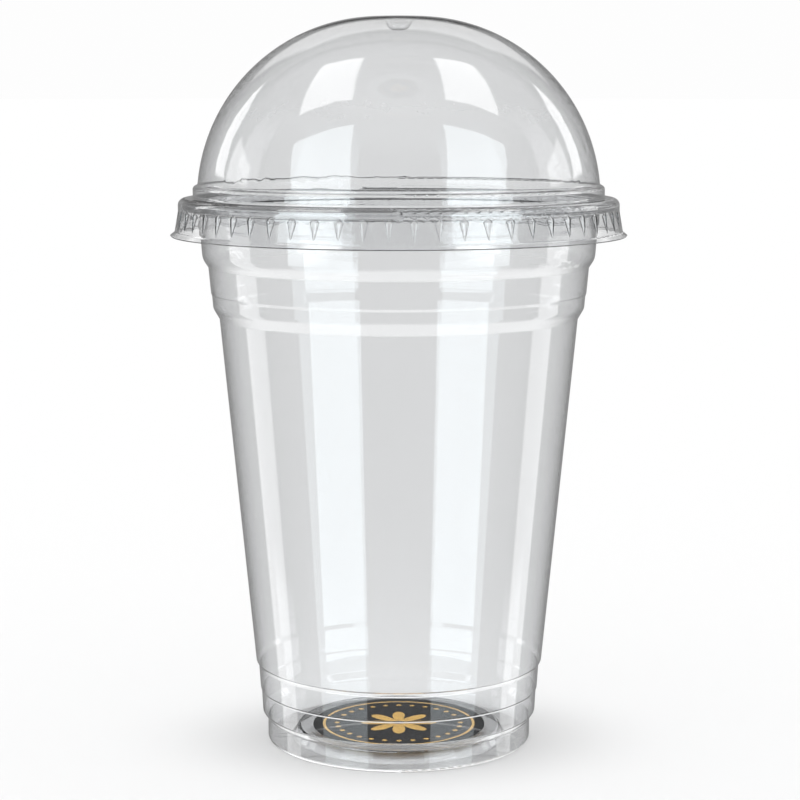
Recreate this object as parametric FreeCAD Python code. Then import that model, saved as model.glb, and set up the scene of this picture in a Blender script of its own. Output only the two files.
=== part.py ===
import FreeCAD, Part

import math
import os

# A clear drinks cup with a domed lid, in millimetres, +Z up, with the origin at the middle of the foot.
# The cup and the lid are each one formed sheet. A path follows one face of the sheet, a second path runs
# parallel to it one wall away, and the section between them is turned about the axis.

# Cup wall, as rises and outward steps counted from the foot.
cup_wall = 0.3
foot_radius = 30.6
foot_rise = 5.2
foot_ledge_rise = 1.6
foot_ledge_reach = 1.2
low_band_rise = 5.1
low_band_reach = 0.27
bead_rise = 0.35
bead_reach = 0.24
high_band_rise = 5.55
high_band_reach = 0.34
body_ledge_rise = 1.0
body_ledge_reach = 0.6
body_rise = 79.6
body_reach = 7.65
stack_ledge_rise = 2.4
stack_ledge_reach = 1.4
collar_rise = 2.8
collar_reach = 0.24
stack_bead_rise = 0.6
stack_bead_reach = 0.22
upper_collar_rise = 5.9
upper_collar_reach = 0.54
neck_ledge_rise = 1.95
neck_ledge_reach = 1.3
neck_rise = 13.25
neck_reach = 1.05
ledge_fillet = 0.5
bead_fillet = 0.3
stack_root_fillet = 0.3
stack_crest_fillet = 2.5
neck_crest_fillet = 4.0

# Floor and foot ring.
floor_rise = 2.4
floor_slope_reach = 1.3
foot_ring_width = 6.0
foot_fillet = 0.8

# Rolled rim.
rim_reach = 3.35
rim_height = 2.4
rim_fillet = 1.1
rim_tuck_gap = 0.9

# Round label stuck to the underside of the floor.
label_margin = 3.2
label_thickness = 0.1

# Lid, from its seat on the rim.
lid_wall = 0.3
seat_gap = 0.1
bead_gap = 0.7
lid_bead_rise = 3.0
lid_bead_fillet = 1.55
flange_width = 3.37
ring_root_fillet = 0.7
ring_rise = 2.5
ring_top_fillet = 0.9
ring_inset = 1.1
ring_slope_rise = 0.6
skirt_rise = 4.5
skirt_flare = 0.8
lip_reach = 1.0
lip_drop = 0.8
lip_fillet = 0.6

# Dome and the dimple at its crown.
dome_rise = 37.4
dome_foot_run = 0.6
dome_foot_fillet = 0.5
crown_radius = 3.9
dimple_radius = 3.2
dimple_depth = 2.7
dimple_floor_radius = 1.9
dimple_edge_fillet = 0.35
dimple_floor_fillet = 1.6

# Grip flutes pressed into the lid's skirt. Each is a kite that is widest and deepest at the skirt's top.
flute_count = 60
flute_first_angle = -2.3
flute_width = 2.2
flute_facets = 5
flute_top_rise = 0.95
flute_tail_drop = 4.2
flute_rim_gap = 0.1
flute_overlap = 0.05
flute_top_lean = 1.5


def cup_climb():
    """Rise and outward reach of each run of the cup's wall, from the foot up, and the fillet at its top."""
    return [
        (foot_rise, 0.0, ledge_fillet),
        (foot_ledge_rise, foot_ledge_reach, ledge_fillet),
        (low_band_rise, low_band_reach, bead_fillet),
        (bead_rise, bead_reach, bead_fillet),
        (high_band_rise, high_band_reach, ledge_fillet),
        (body_ledge_rise, body_ledge_reach, ledge_fillet),
        (body_rise, body_reach, stack_root_fillet),
        (stack_ledge_rise, stack_ledge_reach, stack_crest_fillet),
        (collar_rise, collar_reach, bead_fillet),
        (stack_bead_rise, stack_bead_reach, bead_fillet),
        (upper_collar_rise, upper_collar_reach, stack_root_fillet),
        (neck_ledge_rise, neck_ledge_reach, neck_crest_fillet),
        (neck_rise, neck_reach, 0.0),
    ]


# Sizes that follow from the ones above and are shared by the pieces.
cup_height = sum(rise for rise, _, _ in cup_climb())
neck_radius = foot_radius + sum(reach for _, reach, _ in cup_climb())
rim_radius = neck_radius + rim_reach
floor_radius = foot_radius - foot_ring_width - floor_slope_reach
lid_radius = rim_radius + bead_gap + lid_wall
flange_top = cup_height + seat_gap + lid_wall
skirt_top = flange_top - lid_bead_rise
flute_depth = bead_gap - flute_rim_gap
skirt_slope = math.atan2(skirt_flare, skirt_rise)


def minus(a, b):
    return (a[0] - b[0], a[1] - b[1])


def distance(a, b):
    return math.hypot(a[0] - b[0], a[1] - b[1])


def towards(a, b, run):
    """Point at a given run from a on the way to b."""
    share = run / distance(a, b)
    return (a[0] + (b[0] - a[0]) * share, a[1] + (b[1] - a[1]) * share)


def turn(before, here, after):
    """Signed angle by which the path turns at a corner, positive to the left."""
    first = minus(here, before)
    second = minus(after, here)
    cross = first[0] * second[1] - first[1] * second[0]
    dot = first[0] * second[0] + first[1] * second[1]
    return math.atan2(cross, dot)


def fitted(corners):
    """The path with each fillet limited to the room that its two runs leave it."""
    points = [point for point, _ in corners]
    runs = [0.0] * len(corners)
    for i in range(1, len(corners) - 1):
        half = abs(turn(points[i - 1], points[i], points[i + 1])) / 2
        runs[i] = corners[i][1] * math.tan(half)
    shares = [1.0] * len(corners)
    for i in range(len(corners) - 1):
        needed = runs[i] + runs[i + 1]
        room = distance(points[i], points[i + 1])
        if needed > room:
            shares[i] = min(shares[i], room / needed)
            shares[i + 1] = min(shares[i + 1], room / needed)
    return [(point, radius * share) for (point, radius), share in zip(corners, shares)]


def parallel(corners, wall):
    """The same path one wall to the left. Its fillets keep their centres."""
    points = [point for point, _ in corners]
    normals = []
    for a, b in zip(points, points[1:]):
        length = distance(a, b)
        normals.append(((a[1] - b[1]) / length, (b[0] - a[0]) / length))
    moved = [((points[0][0] + normals[0][0] * wall, points[0][1] + normals[0][1] * wall), 0.0)]
    for i in range(1, len(points) - 1):
        first, second = normals[i - 1], normals[i]
        spread = 1.0 + first[0] * second[0] + first[1] * second[1]
        shift = (
            (first[0] + second[0]) * wall / spread,
            (first[1] + second[1]) * wall / spread,
        )
        angle = turn(points[i - 1], points[i], points[i + 1])
        radius = corners[i][1] - math.copysign(wall, angle)
        moved.append(((points[i][0] + shift[0], points[i][1] + shift[1]), max(radius, 0.0)))
    moved.append(((points[-1][0] + normals[-1][0] * wall, points[-1][1] + normals[-1][1] * wall), 0.0))
    return moved


def vector(point):
    """A point of the section, as radius and height, in the XZ plane."""
    return FreeCAD.Vector(point[0], 0, point[1])


def path_edges(corners):
    """Straight runs joined by tangent arcs."""
    edges = []
    start = corners[0][0]
    for i in range(1, len(corners) - 1):
        before, (here, radius), after = corners[i - 1][0], corners[i], corners[i + 1][0]
        half = abs(turn(before, here, after)) / 2
        run = radius * math.tan(half)
        if run < 1e-6:
            edges.append(Part.makeLine(vector(start), vector(here)))
            start = here
            continue
        enter = towards(here, before, run)
        leave = towards(here, after, run)
        chord_middle = ((enter[0] + leave[0]) / 2, (enter[1] + leave[1]) / 2)
        crown = towards(here, chord_middle, radius / math.cos(half) - radius)
        if distance(start, enter) > 1e-6:
            edges.append(Part.makeLine(vector(start), vector(enter)))
        edges.append(Part.Arc(vector(enter), vector(crown), vector(leave)).toShape())
        start = leave
    edges.append(Part.makeLine(vector(start), vector(corners[-1][0])))
    return edges


def turned_sheet(corners, wall):
    """Solid of revolution between a path and its parallel, which lies to the path's left."""
    near = fitted(corners)
    far = parallel(near, wall)
    edges = path_edges(near) + path_edges(far)
    for a, b in ((near[0][0], far[0][0]), (near[-1][0], far[-1][0])):
        edges.append(Part.makeLine(vector(a), vector(b)))
    section = Part.Face(Part.Wire(Part.__sortEdges__(edges)))
    return section.revolve(FreeCAD.Vector(0, 0, 0), FreeCAD.Vector(0, 0, 1), 360)


def cup_path():
    """The cup's outer face: floor, foot ring, wall, and the inside of the rolled rim."""
    corners = [
        ((0.0, floor_rise), 0.0),
        ((floor_radius, floor_rise), ledge_fillet),
        ((foot_radius - foot_ring_width, 0.0), foot_fillet),
        ((foot_radius, 0.0), foot_fillet),
    ]
    radius, height = foot_radius, 0.0
    for rise, reach, fillet in cup_climb()[:-1]:
        radius += reach
        height += rise
        corners.append(((radius, height), fillet))
    roll_fillet = rim_fillet - cup_wall
    roll_top = cup_height - cup_wall
    roll_foot = cup_height - rim_height + cup_wall
    corners.append(((neck_radius, roll_top), roll_fillet))
    corners.append(((rim_radius - cup_wall, roll_top), roll_fillet))
    corners.append(((rim_radius - cup_wall, roll_foot), roll_fillet))
    corners.append(((neck_radius + rim_tuck_gap, roll_foot), 0.0))
    return corners


def make_cup():
    return turned_sheet(cup_path(), cup_wall)


def make_label():
    foot = FreeCAD.Vector(0, 0, floor_rise - label_thickness)
    return Part.makeCylinder(floor_radius - label_margin, label_thickness, foot)


def dome_corner(foot, top):
    """Corner and fillet of the dome: an arc that is level at the crown and reaches down to the dome's foot."""
    across = foot[0] - crown_radius
    rise = top - foot[1]
    radius = (across**2 + rise**2) / (2 * rise)
    lean = math.atan2(rise - radius, across)
    tangent_run = radius * math.tan((math.pi / 2 + lean) / 2)
    corner = (crown_radius + tangent_run, top)
    return corner, radius * (tangent_run - dome_foot_run) / tangent_run


def lid_path():
    """The lid's outer face: lip, skirt, bead over the rim, flange, shoulder ring, dome and dimple."""
    ring_radius = lid_radius - flange_width
    ring_top = flange_top + ring_rise
    dome_foot = (ring_radius - ring_inset, ring_top + ring_slope_rise)
    dome_top = dome_foot[1] + dome_rise
    corner, dome_radius = dome_corner(dome_foot, dome_top)
    skirt_radius = lid_radius + skirt_flare
    skirt_foot = skirt_top - skirt_rise
    return [
        ((skirt_radius + lip_reach, skirt_foot - lip_drop), 0.0),
        ((skirt_radius, skirt_foot), lip_fillet),
        ((lid_radius, skirt_top), 0.0),
        ((lid_radius, flange_top), lid_bead_fillet),
        ((ring_radius, flange_top), ring_root_fillet),
        ((ring_radius, ring_top), ring_top_fillet),
        (dome_foot, dome_foot_fillet),
        (corner, dome_radius),
        ((dimple_radius, dome_top), dimple_edge_fillet),
        ((dimple_floor_radius, dome_top - dimple_depth), dimple_floor_fillet),
        ((0.0, dome_top - dimple_depth), 0.0),
    ]


def skirt_point(along, across, outward):
    """Point by the skirt's face: up its slope from its top, sideways, and outward from it."""
    radius = lid_radius - along * math.sin(skirt_slope) + outward * math.cos(skirt_slope)
    height = skirt_top + along * math.cos(skirt_slope) + outward * math.sin(skirt_slope)
    return FreeCAD.Vector(radius, across, height)


def channel(face):
    """Solid that hollows out one flute at the given distance outward from the skirt's face. Its section at the
    skirt's top is an arc of flat facets. From there it narrows to one point down the skirt and to another up
    on the bead, and both lie just outside the surface."""
    brim = face + flute_overlap
    half_width = flute_width / 2
    depth = flute_depth + flute_overlap
    radius = (half_width**2 + depth**2) / (2 * depth)
    half_angle = math.asin(half_width / radius)
    section = []
    for i in range(flute_facets + 1):
        angle = half_angle * (2 * i / flute_facets - 1)
        sunk = radius * math.cos(angle) - radius + depth
        section.append(skirt_point(0.0, radius * math.sin(angle), brim - sunk))
    tail = skirt_point(-flute_tail_drop, 0.0, brim)
    top = skirt_point(flute_top_rise, 0.0, brim + flute_top_lean * flute_top_rise * math.sin(skirt_slope))
    faces = []
    for a, b in zip(section, section[1:] + section[:1]):
        for tip in (tail, top):
            faces.append(Part.Face(Part.makePolygon([a, b, tip, a])))
    return Part.Solid(Part.Shell(faces))


def around(shape):
    """Copies of a shape at every flute's place."""
    copies = []
    for i in range(flute_count):
        copy = shape.copy()
        angle = flute_first_angle - 90 + 360 * i / flute_count
        copy.rotate(FreeCAD.Vector(0, 0, 0), FreeCAD.Vector(0, 0, 1), angle)
        copies.append(copy)
    return copies


def make_lid():
    """The turned sheet, with a wedge added behind each flute and the flute itself cut from outside."""
    sheet = turned_sheet(lid_path(), lid_wall)
    backing = channel(-lid_wall)
    groove = channel(0.0)
    return sheet.fuse(around(backing)).cut(around(groove)).removeSplitter()


def main():
    os.makedirs("parts", exist_ok=True)
    pieces = {"cup": make_cup(), "base_label": make_label(), "dome_lid": make_lid()}
    for name, piece in pieces.items():
        if not piece.isValid() or len(piece.Solids) != 1:
            raise ValueError(f"{name} is not one valid solid")
        piece.exportStep(f"parts/{name}.step")
        print(name, "volume", round(piece.Volume, 1), "height", round(piece.BoundBox.ZMax, 2))


main()
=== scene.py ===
import math

import bpy
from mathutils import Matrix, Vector


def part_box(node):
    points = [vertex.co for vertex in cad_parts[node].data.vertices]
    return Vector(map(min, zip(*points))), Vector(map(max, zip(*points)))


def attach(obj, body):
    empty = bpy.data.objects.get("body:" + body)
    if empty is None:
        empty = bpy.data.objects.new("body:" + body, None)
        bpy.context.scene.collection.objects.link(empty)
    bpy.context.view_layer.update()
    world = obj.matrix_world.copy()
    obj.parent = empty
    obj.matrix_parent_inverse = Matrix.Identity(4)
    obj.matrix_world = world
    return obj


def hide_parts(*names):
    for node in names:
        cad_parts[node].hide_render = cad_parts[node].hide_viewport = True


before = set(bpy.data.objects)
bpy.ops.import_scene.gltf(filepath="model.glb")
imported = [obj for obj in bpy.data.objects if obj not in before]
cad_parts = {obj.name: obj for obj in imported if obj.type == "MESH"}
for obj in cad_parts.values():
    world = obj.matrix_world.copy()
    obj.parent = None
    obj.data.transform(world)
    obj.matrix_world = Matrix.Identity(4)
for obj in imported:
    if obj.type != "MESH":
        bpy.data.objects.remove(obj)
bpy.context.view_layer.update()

# Lengths are in metres and angles in degrees. A direction is an azimuth and an elevation as seen from the
# object, with azimuth 0 on the camera's side and 180 behind.

# Camera, as worked out from the rings of the cup. Lens and sensor are in millimetres.
CAMERA_PLACE = (0.000285, -0.4945, 0.149)
CAMERA_PITCH = -8.04
LENS = 97.6
SENSOR = 36.0

# Bounces that a path of light may have, enough for all the walls one behind the other.
PASSING_BOUNCES = 40
MIRROR_BOUNCES = 16
CLEAR_BOUNCES = 16

# Lights of the studio, as the plastic mirrors them, alike on both sides. Each is a four-sided patch of sky
# with its corners, its strength and the width of its soft edge. The wall nearest to the camera mirrors the
# lowest front light, and the far wall the one above it.
LIGHTS = {
    "front_low": ([(26.4, -45), (66.7, -45), (66.7, -12), (26.4, -12)], 1.05, 1.2),
    "front_middle": ([(26.4, -12), (66.7, -12), (62.5, 9), (26.4, 9)], 2.7, 1.2),
    "front_high": ([(26.4, 9), (62.5, 9), (69.7, 30), (34.0, 48)], 2.1, 1.2),
    "top": ([(50, 62.5), (80.5, 43.5), (126.5, 59), (139.5, 72)], 2.4, 1.5),
    "side_low": ([(95, -40), (115, -40), (115, -6), (95, -6)], 1.25, 2.5),
    "side_high": ([(95, 6), (115, 6), (115, 21), (95, 14)], 1.2, 2.5),
    "rear": ([(118, 5.5), (130, 5.5), (136, 33), (124, 27)], 1.8, 2.0),
    "backdrop": ([(150, 22), (200, 22), (200, 44), (152, 42)], 0.7, 5.0),
    "backdrop_gap": ([(172, 13), (200, 13), (200, 20), (172, 20)], -0.25, 3.0),
}
COOL_LIGHTS = ("front_low", "front_middle", "front_high")
COOL = (0.89, 0.97, 1.0, 1.0)
NEUTRAL = (1.0, 1.0, 1.0, 1.0)

# The rest of the studio, with the azimuths or elevations between which one tone gives way to the next. The
# ground is shaded where the way to it goes through more faces of plastic than NEAR_SIDE_FACES.
GREY_FRONT = 0.12
GREY_REAR = 0.35
GREY_EDGE = (100, 125)
CEILING = 0.34
CEILING_EDGE = (50, 62)
GROUND = 1.8
GROUND_SHADED = 0.6
GROUND_EDGE = (-20, -44)
NEAR_SIDE_FACES = 2

# Share of the studio that is left at the second mirroring, and from the third on.
SECOND_MIRROR = 0.55
THIRD_MIRROR = 0.22

# What is seen straight or through the plastic is white. High up it is dim, where only rays that an edge
# bends upwards get to.
WHITE = 0.985
DIM_SKY = 0.1
DIM_EDGE = (8, 20)

# Light on the floor. Light that went through more faces than DEEP_FACES, as on its way to and from the
# label, is stronger, to make up for the tint. What is mirrored on that way stays dim, and the floor behind
# as many faces gives as much less.
FLOOR_FILL = 1.25
DEEP_FACES = 7
DEEP_FILL = 2.8
DEEP_FILL_MIRRORED = 0.3

# Floor. Round the cup's foot its tone dips: a painted shade in the floor's colour, standing in for the soft
# shade of lights on all sides.
FLOOR_RADIUS = 60.0
FLOOR_SIDES = 96
FLOOR_ALBEDO = 0.8
PAINTED_SHADE_DEPTH = 0.315
PAINTED_SHADE_REACH = (0.0435, 0.0316)
PAINTED_SHADE_FRONT = 0.0025
PAINTED_SHADE_FALLOFF = 3.4

# Clear plastic.
PLASTIC_TINT = (0.905, 0.91, 0.915, 1.0)
PLASTIC_IOR = 1.575
DRIFT_LOW = 0.985
DRIFT_SCALE = 60.0
CUP_SEED = 1.0
LID_SEED = 2.0
NOISE_DETAIL = 2.0

# Label: a thin disc just clear of the underside of the cup's floor. Its print is a ring, a ring of dots
# inside it, and a rosette in the middle.
LABEL_CLEARANCE = 0.00001
LABEL_SIDES = 128
RING_RADIUS = 0.0175
RING_WIDTH = 0.0006
DOTS = 28
DOTS_RADIUS = 0.0145
DOT_SIZE = 0.0006
PETALS = 8
ROSETTE_RADIUS = 0.0088
ROSETTE_WAIST = 0.0026
ROSETTE_EYE = 0.0013
PRINT_EDGE = 0.00006
FILM_BLACK = (0.012, 0.012, 0.013, 1.0)
FILM_GOLD = (1.0, 0.62, 0.16, 1.0)
FILM_IOR = 1.3
FILM_ROUGHNESS = (0.3, 0.4)
FILM_GRAIN = 900.0
FILM_SEED = 3.0

# The count of bounces is ahead by one at a light source, and not at a surface.
AT_SURFACE = 0
AT_LIGHT = 1


class Nodes:
    """A node tree with short ways to add to it. A value is a number or another node's socket."""

    def __init__(self, tree, keep=False):
        self.tree = tree
        if not keep:
            tree.nodes.clear()

    def add(self, kind, **settings):
        node = self.tree.nodes.new(kind)
        for name, value in settings.items():
            setattr(node, name, value)
        return node

    def link(self, source, target):
        self.tree.links.new(source, target)

    def feed(self, socket, value):
        if isinstance(value, bpy.types.NodeSocket):
            self.link(value, socket)
        else:
            socket.default_value = value

    def axes(self, coordinates):
        """The x, y and z of a texture coordinate."""
        node = self.add("ShaderNodeSeparateXYZ")
        self.link(self.add("ShaderNodeTexCoord").outputs[coordinates], node.inputs[0])
        return node.outputs

    def maths(self, operation, *values, clamp=False):
        node = self.add("ShaderNodeMath", operation=operation, use_clamp=clamp)
        for socket, value in zip(node.inputs, values):
            self.feed(socket, value)
        return node.outputs[0]

    def length(self, first, second):
        """Length of the long side of a right-angled triangle."""
        squares = [self.maths("MULTIPLY", side, side) for side in (first, second)]
        return self.maths("SQRT", self.maths("ADD", *squares))

    def mix(self, share, first, second):
        node = self.add("ShaderNodeMix", data_type="FLOAT")
        for socket, value in zip(node.inputs[:1] + node.inputs[2:4], (share, first, second)):
            self.feed(socket, value)
        return node.outputs[0]

    def colour_mix(self, share, first, second):
        node = self.add("ShaderNodeMix", data_type="RGBA")
        self.feed(node.inputs["Factor"], share)
        colours = [socket for socket in node.inputs if socket.type == "RGBA"]
        for socket, value in zip(colours, (first, second)):
            socket.default_value = value
        return [socket for socket in node.outputs if socket.type == "RGBA"][0]

    def noise(self, seed, scale):
        node = self.add("ShaderNodeTexNoise", noise_dimensions="4D")
        self.link(self.add("ShaderNodeTexCoord").outputs["Object"], node.inputs["Vector"])
        for name, value in (("W", seed), ("Scale", scale), ("Detail", NOISE_DETAIL)):
            node.inputs[name].default_value = value
        return node.outputs["Fac"]

    def dot(self, vector, constant):
        node = self.add("ShaderNodeVectorMath", operation="DOT_PRODUCT")
        self.link(vector, node.inputs[0])
        node.inputs[1].default_value = constant
        return node.outputs["Value"]

    def step(self, value, low, high):
        """Smooth step from 0 at low to 1 at high."""
        node = self.add("ShaderNodeMapRange", interpolation_type="SMOOTHSTEP")
        self.feed(node.inputs["Value"], value)
        self.feed(node.inputs["From Min"], low)
        self.feed(node.inputs["From Max"], high)
        return node.outputs["Result"]

    def height_step(self, height, elevations):
        """Smooth step between two elevations, for the height of a unit vector."""
        low, high = (math.sin(math.radians(elevation)) for elevation in elevations)
        return self.step(height, low, high)


def mirrored(nodes, path, ahead, times=1):
    """1 where the path has been mirrored or scattered so many times or more, and 0 elsewhere."""
    bounces = nodes.maths("SUBTRACT", path.outputs["Ray Depth"], path.outputs["Transmission Depth"])
    return nodes.maths("GREATER_THAN", bounces, ahead + times - 0.5)


def passed(nodes, path, faces):
    """1 where the path has gone through more faces of plastic than the count, and 0 elsewhere."""
    return nodes.maths("GREATER_THAN", path.outputs["Transmission Depth"], faces + 0.5)


def heading(azimuth, elevation):
    """Unit vector in a direction."""
    a, e = math.radians(azimuth), math.radians(elevation)
    return Vector((math.sin(a) * math.cos(e), -math.cos(a) * math.cos(e), math.sin(e)))


def patch(nodes, direction, corners, soft):
    """1 inside a four-sided patch of sky and 0 outside it, with soft edges."""
    headings = [heading(*corner) for corner in corners]
    middle = sum(headings, Vector())
    edge_width = math.sin(math.radians(soft)) / 2
    inside = None
    for first, second in zip(headings, headings[1:] + headings[:1]):
        normal = first.cross(second).normalized()
        if normal.dot(middle) < 0:
            normal.negate()
        distance = nodes.dot(direction, normal)
        edge = nodes.step(distance, -edge_width, edge_width)
        inside = edge if inside is None else nodes.maths("MULTIPLY", inside, edge)
    return inside


def studio_light(nodes, path, x, y, z):
    """Strength of what is mirrored, and the share of it that is cool."""
    side = nodes.maths("ABSOLUTE", x)
    direction = nodes.add("ShaderNodeCombineXYZ")
    for socket, value in zip(direction.inputs, (side, y, z)):
        nodes.link(value, socket)
    azimuth = nodes.maths("ARCTAN2", side, nodes.maths("MULTIPLY", y, -1.0))
    rear = nodes.step(azimuth, *(math.radians(angle) for angle in GREY_EDGE))
    light = nodes.mix(rear, GREY_FRONT, GREY_REAR)
    light = nodes.mix(nodes.height_step(z, CEILING_EDGE), light, CEILING)
    cool = 0.0
    for name, (corners, strength, soft) in LIGHTS.items():
        inside = patch(nodes, direction.outputs[0], corners, soft)
        light = nodes.maths("MULTIPLY_ADD", inside, strength, light)
        if name in COOL_LIGHTS:
            cool = nodes.maths("ADD", cool, inside, clamp=True)

    # The ground takes over from the lights low down. Where the way to it leads through the plastic again, it
    # is the shaded ground under the cup.
    ground = nodes.mix(passed(nodes, path, NEAR_SIDE_FACES), GROUND, GROUND_SHADED)
    light = nodes.mix(nodes.height_step(z, GROUND_EDGE), light, ground)
    share = nodes.mix(mirrored(nodes, path, AT_LIGHT, 3), SECOND_MIRROR, THIRD_MIRROR)
    light = nodes.maths("MULTIPLY", light, nodes.mix(mirrored(nodes, path, AT_LIGHT, 2), 1.0, share))
    return light, cool


def make_studio():
    """World that shows white, lights the floor evenly, and is mirrored as a studio with soft lights."""
    world = bpy.data.worlds.new("studio")
    bpy.context.scene.world = world
    world.use_nodes = True
    world.cycles.sampling_method = "NONE"
    nodes = Nodes(world.node_tree)
    path = nodes.add("ShaderNodeLightPath")
    x, y, z = nodes.axes("Generated")
    light, cool = studio_light(nodes, path, x, y, z)

    dim = nodes.maths("MULTIPLY", nodes.height_step(z, DIM_EDGE), passed(nodes, path, 0))
    seen = nodes.mix(dim, WHITE, DIM_SKY)
    fill = nodes.mix(mirrored(nodes, path, AT_LIGHT, 2), DEEP_FILL, DEEP_FILL_MIRRORED)
    fill = nodes.mix(passed(nodes, path, DEEP_FACES), FLOOR_FILL, fill)
    is_mirrored = mirrored(nodes, path, AT_LIGHT)
    is_scattered = nodes.maths("GREATER_THAN", path.outputs["Diffuse Depth"], 0.5)
    strength = nodes.mix(is_scattered, nodes.mix(is_mirrored, seen, light), fill)
    is_studio = nodes.maths("SUBTRACT", is_mirrored, is_scattered, clamp=True)
    colour = nodes.colour_mix(nodes.maths("MULTIPLY", cool, is_studio), NEUTRAL, COOL)

    background = nodes.add("ShaderNodeBackground")
    nodes.link(colour, background.inputs["Color"])
    nodes.link(strength, background.inputs["Strength"])
    output = nodes.add("ShaderNodeOutputWorld")
    nodes.link(background.outputs[0], output.inputs["Surface"])


def make_floor():
    """Pale floor with a painted soft shade round the foot. What the plastic has mirrored passes through it.
    """
    bpy.ops.mesh.primitive_circle_add(vertices=FLOOR_SIDES, radius=FLOOR_RADIUS, fill_type="NGON")
    floor = bpy.context.object
    floor.name = "floor"
    material = bpy.data.materials.new("floor")
    material.use_nodes = True
    nodes = Nodes(material.node_tree)
    path = nodes.add("ShaderNodeLightPath")
    x, y = nodes.axes("Object")[:2]
    # Painted shade: the floor's colour darkens in a soft blob round the foot, where a shadow would fall.
    across = nodes.maths("DIVIDE", x, PAINTED_SHADE_REACH[0])
    along = nodes.maths("DIVIDE", nodes.maths("ADD", y, PAINTED_SHADE_FRONT), PAINTED_SHADE_REACH[1])
    falloff = nodes.maths("POWER", nodes.length(across, along), PAINTED_SHADE_FALLOFF)
    painted_shade = nodes.maths("EXPONENT", nodes.maths("MULTIPLY", falloff, -1.0))
    tone = nodes.mix(nodes.maths("MULTIPLY", painted_shade, PAINTED_SHADE_DEPTH), FLOOR_ALBEDO, 0.0)
    share = nodes.mix(passed(nodes, path, DEEP_FACES), 1.0, FLOOR_FILL / DEEP_FILL)
    diffuse = nodes.add("ShaderNodeBsdfDiffuse")
    nodes.link(nodes.maths("MULTIPLY", tone, share), diffuse.inputs["Color"])
    clear = nodes.add("ShaderNodeBsdfTransparent")
    mix = nodes.add("ShaderNodeMixShader")
    nodes.link(mirrored(nodes, path, AT_SURFACE), mix.inputs[0])
    nodes.link(diffuse.outputs[0], mix.inputs[1])
    nodes.link(clear.outputs[0], mix.inputs[2])
    output = nodes.add("ShaderNodeOutputMaterial")
    nodes.link(mix.outputs[0], output.inputs["Surface"])
    floor.data.materials.append(material)


def make_camera():
    data = bpy.data.cameras.new("camera")
    data.sensor_width = SENSOR
    data.lens = LENS
    camera = bpy.data.objects.new("camera", data)
    camera.location = CAMERA_PLACE
    camera.rotation_euler = (math.radians(90 + CAMERA_PITCH), 0.0, 0.0)
    bpy.context.scene.collection.objects.link(camera)
    bpy.context.scene.camera = camera


def plain_material(name):
    """New material, its shader, and its nodes."""
    material = bpy.data.materials.new(name)
    material.use_nodes = True
    shader = material.node_tree.nodes["Principled BSDF"]
    return material, shader, Nodes(material.node_tree, keep=True)


def clear_plastic(name, seed):
    """Clear formed sheet. Its tint drifts a little from place to place, as its thickness does."""
    material, shader, nodes = plain_material(name)
    shader.inputs["Roughness"].default_value = 0.0
    shader.inputs["IOR"].default_value = PLASTIC_IOR
    shader.inputs["Transmission Weight"].default_value = 1.0
    low_tint = [value * DRIFT_LOW for value in PLASTIC_TINT]
    tint = nodes.colour_mix(nodes.noise(seed, DRIFT_SCALE), PLASTIC_TINT, low_tint)
    nodes.link(tint, shader.inputs["Base Color"])
    return material


def within(nodes, distance, reach):
    """1 where a distance is less than a reach and 0 beyond it, with the print's fine edge between."""
    return nodes.step(nodes.maths("SUBTRACT", distance, reach), PRINT_EDGE, -PRINT_EDGE)


def label_film():
    """Black film with its gold print."""
    material, shader, nodes = plain_material("label_film")
    x, y = nodes.axes("Object")[:2]
    radius = nodes.length(x, y)
    angle = nodes.maths("ARCTAN2", y, x)

    off_ring = nodes.maths("ABSOLUTE", nodes.maths("SUBTRACT", radius, RING_RADIUS))
    ring = within(nodes, off_ring, RING_WIDTH / 2)
    along_ring = nodes.maths("MULTIPLY", nodes.maths("PINGPONG", angle, math.pi / DOTS), radius)
    across_ring = nodes.maths("SUBTRACT", radius, DOTS_RADIUS)
    dots = within(nodes, nodes.length(along_ring, across_ring), DOT_SIZE)
    petal = nodes.maths("ABSOLUTE", nodes.maths("COSINE", nodes.maths("MULTIPLY", angle, PETALS / 2)))
    petals = within(nodes, radius, nodes.mix(petal, ROSETTE_WAIST, ROSETTE_RADIUS))
    eye = within(nodes, radius, ROSETTE_EYE)
    rosette = nodes.maths("MULTIPLY", petals, nodes.maths("SUBTRACT", 1.0, eye))

    gold = nodes.maths("MAXIMUM", nodes.maths("MAXIMUM", ring, dots), rosette)
    nodes.link(nodes.colour_mix(gold, FILM_BLACK, FILM_GOLD), shader.inputs["Base Color"])
    grain = nodes.noise(FILM_SEED, FILM_GRAIN)
    nodes.link(nodes.mix(grain, *FILM_ROUGHNESS), shader.inputs["Roughness"])
    shader.inputs["IOR"].default_value = FILM_IOR
    return material


def make_label(material):
    low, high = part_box("base_label")
    bpy.ops.mesh.primitive_cylinder_add(
        vertices=LABEL_SIDES,
        radius=(high[0] - low[0]) / 2,
        depth=high[2] - low[2],
        location=(0.0, 0.0, (low[2] + high[2]) / 2 - LABEL_CLEARANCE),
    )
    label = bpy.context.object
    label.name = "printed_label"
    label.data.materials.append(material)
    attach(label, "cup")
    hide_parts("base_label")


def dress(node, material):
    """Give all of a CAD node's surfaces one material."""
    for slot in node.material_slots:
        slot.material = material


scene = bpy.context.scene
scene.view_settings.view_transform = "Standard"
scene.cycles.max_bounces = PASSING_BOUNCES
scene.cycles.transmission_bounces = PASSING_BOUNCES
scene.cycles.glossy_bounces = MIRROR_BOUNCES
scene.cycles.transparent_max_bounces = CLEAR_BOUNCES
scene.cycles.blur_glossy = 0.0

make_camera()
make_studio()
make_floor()
dress(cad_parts["cup"], clear_plastic("cup_plastic", CUP_SEED))
dress(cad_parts["dome_lid"], clear_plastic("lid_plastic", LID_SEED))
make_label(label_film())
